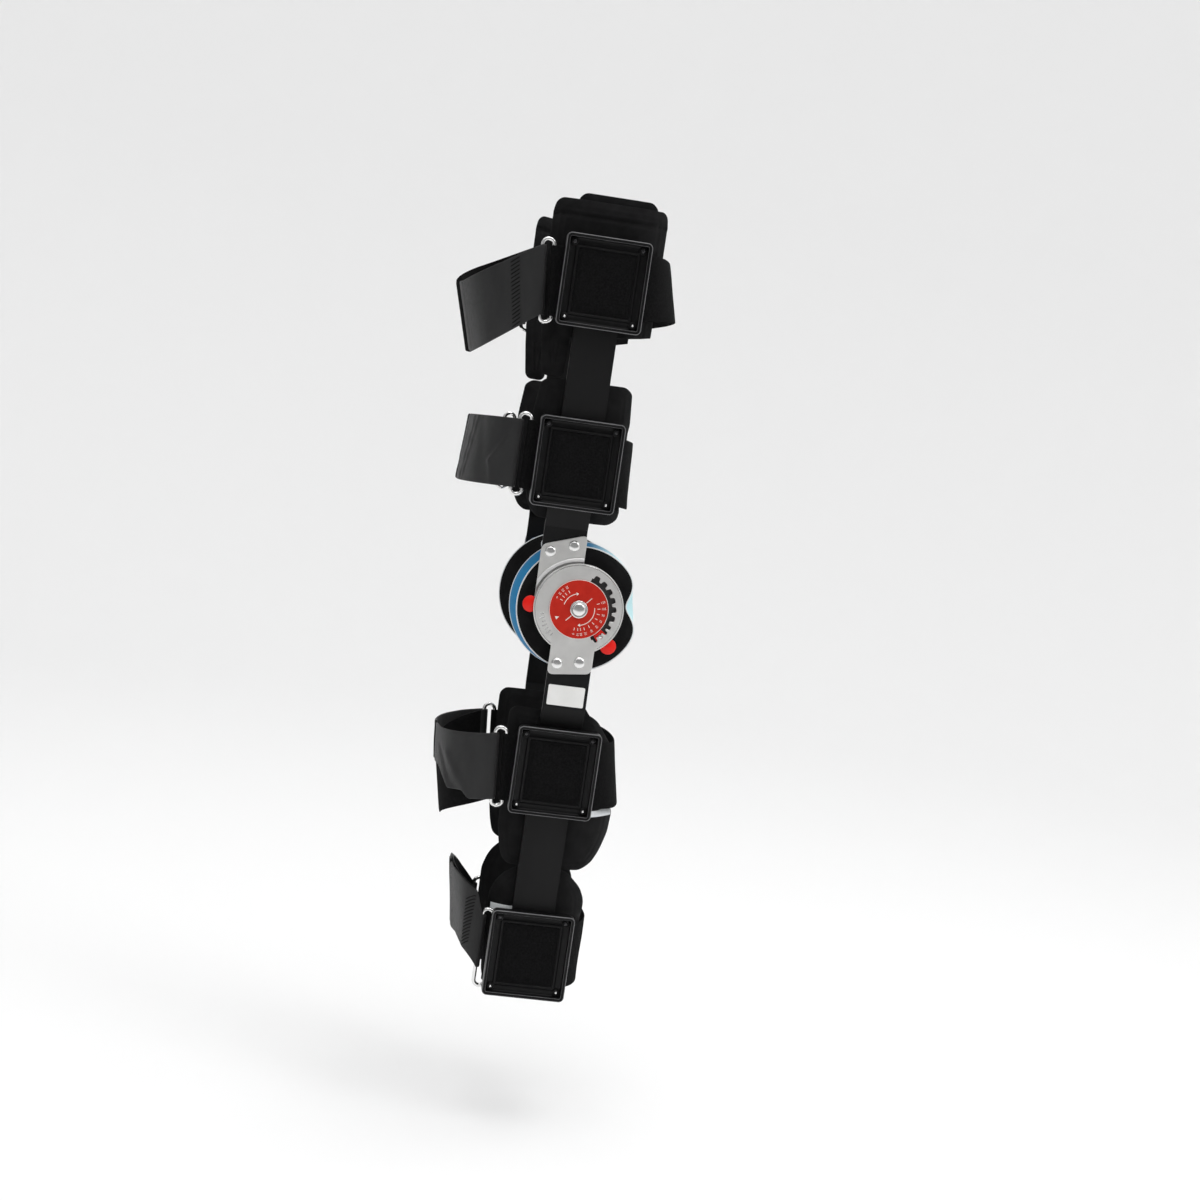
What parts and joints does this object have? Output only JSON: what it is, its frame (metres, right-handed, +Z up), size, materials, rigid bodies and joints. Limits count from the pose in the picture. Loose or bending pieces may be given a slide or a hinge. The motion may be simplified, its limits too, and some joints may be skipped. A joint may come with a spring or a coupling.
{
  "type": "hinged knee brace",
  "caption": "Hinged knee brace with black bars on both sides of the leg, dial hinges with red stops, square strap plates, padded panels and webbing cuffs.",
  "frame": {"origin": "on the knee axis, midway between the two hinges, where the knee sits", "axes": "+X to the outer side of a right leg, +Y forwards, +Z up the leg"},
  "size_m": [0.2044, 0.1847, 0.6346],
  "materials": {
    "black_plastic": "satin moulded",
    "bar_black": "satin black coat",
    "pad_cloth": "knit over foam",
    "loop_cloth": "brushed loop pile",
    "webbing": "satin woven nylon",
    "steel": "satin",
    "chrome": "polished",
    "dial_red": "satin with white numbers",
    "stop_red": "moulded",
    "condyle_cloth": "blue knit gusset, black face",
    "paper": "blank label"
  },
  "bodies": {
    "upper": {"upper_bar_lateral": "bar_black", "hinge_rear_lateral": "steel", "upper_rivet_back": "chrome", "upper_rivet_front": "chrome", "condyle_pad_lateral": "condyle_cloth", "pad_upper_thigh_lateral": "pad_cloth", "plate_upper_thigh_lateral": "black_plastic", "patch_upper_thigh": "loop_cloth", "ring_upper_thigh_lateral": "chrome", "pad_lower_thigh_lateral": "pad_cloth", "plate_lower_thigh_lateral": "black_plastic", "patch_lower_thigh": "loop_cloth", "ring_lower_thigh_lateral": "chrome", "upper_bar_medial": "bar_black", "hinge_rear_medial": "steel", "condyle_pad_medial": "condyle_cloth", "pad_upper_thigh_medial": "pad_cloth", "plate_upper_thigh_medial": "black_plastic", "ring_upper_thigh_medial": "chrome", "pad_lower_thigh_medial": "pad_cloth", "plate_lower_thigh_medial": "black_plastic", "ring_lower_thigh_medial": "chrome", "front_strap_upper_thigh": "webbing", "rear_strap_upper_thigh": "webbing", "front_strap_lower_thigh": "webbing", "rear_strap_lower_thigh": "webbing"},
    "lower": {"lower_bar_lateral": "bar_black", "hinge_front_lateral": "steel", "friction_disc": "black_plastic", "dial_lateral": "dial_red", "pivot_rivet": "chrome", "lower_rivet_back": "chrome", "lower_rivet_front": "chrome", "size_label": "paper", "pad_upper_calf_lateral": "pad_cloth", "plate_upper_calf_lateral": "black_plastic", "patch_upper_calf": "loop_cloth", "ring_upper_calf_lateral": "chrome", "pad_lower_calf_lateral": "pad_cloth", "plate_lower_calf_lateral": "black_plastic", "patch_lower_calf": "loop_cloth", "ring_lower_calf_lateral": "chrome", "lower_bar_medial": "bar_black", "hinge_front_medial": "steel", "dial_medial": "dial_red", "pad_upper_calf_medial": "pad_cloth", "plate_upper_calf_medial": "black_plastic", "ring_upper_calf_medial": "chrome", "pad_lower_calf_medial": "pad_cloth", "plate_lower_calf_medial": "black_plastic", "ring_lower_calf_medial": "chrome", "front_strap_upper_calf": "webbing", "rear_strap_upper_calf": "webbing", "front_strap_lower_calf": "webbing", "rear_strap_lower_calf": "webbing"},
    "flexion_stop": {"flexion_stop": "stop_red"},
    "extension_stop": {"extension_stop": "stop_red"}
  },
  "joints": [
    {"name": "knee_flexion", "type": "hinge", "parent": "upper", "child": "lower", "pos_m": [0, 0, 0], "axis": [-1, 0, 0], "range_deg": [0, 120], "deforming": ["rear_strap_lower_thigh", "rear_strap_upper_calf"]},
    {"name": "flexion_setting", "type": "hinge", "parent": "lower", "child": "flexion_stop", "pos_m": [0, 0, 0], "axis": [1, 0, 0], "range_deg": [0, 110]},
    {"name": "extension_setting", "type": "hinge", "parent": "lower", "child": "extension_stop", "pos_m": [0, 0, 0], "axis": [1, 0, 0], "range_deg": [0, 30]}
  ]
}
